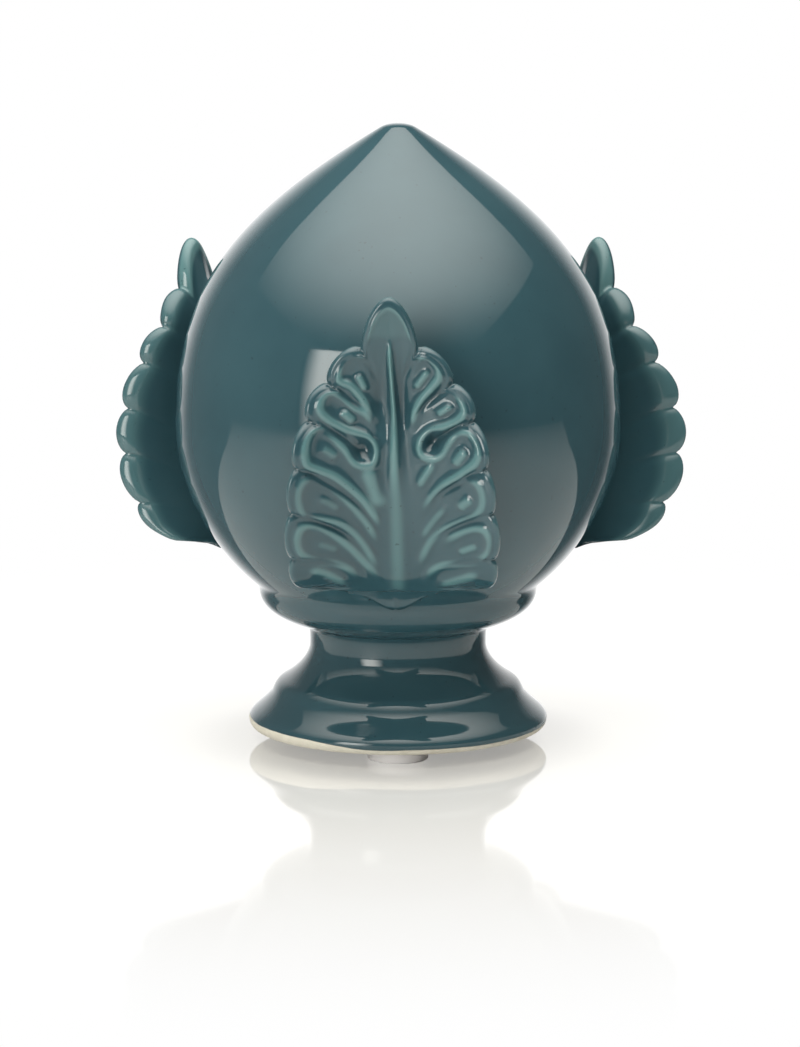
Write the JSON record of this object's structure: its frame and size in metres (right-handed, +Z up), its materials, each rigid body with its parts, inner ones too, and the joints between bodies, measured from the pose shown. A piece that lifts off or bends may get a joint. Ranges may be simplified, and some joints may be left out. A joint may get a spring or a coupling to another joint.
{
  "type": "finial",
  "caption": "Glazed ceramic bud finial: a pointed bud ringed by flaring acanthus leaves, sitting in a shallow collar on a waisted round foot with stick-on pads underneath.",
  "frame": {"origin": "under the middle of the whole's box, at the level of the foot pads' undersides, where the object stands. The bud's axis stands 5.4 mm behind it, because one of the three leaves faces the front", "axes": "+Z up, the way the bud points, -Y to the front, the side with the leaf that faces the picture's camera, +X to the right seen from the front"},
  "size_m": [0.1489, 0.1281, 0.16],
  "materials": {
    "glaze": "glossy dark teal glaze that breaks lighter on ridges and edges, over cream clay that is bare around the underside of the foot",
    "pad": "semi-matte white soft plastic"
  },
  "bodies": {
    "root": {"ceramic_finial": "glaze", "foot_pad_front": "pad", "foot_pad_back_right": "pad", "foot_pad_back_left": "pad"}
  },
  "joints": []
}
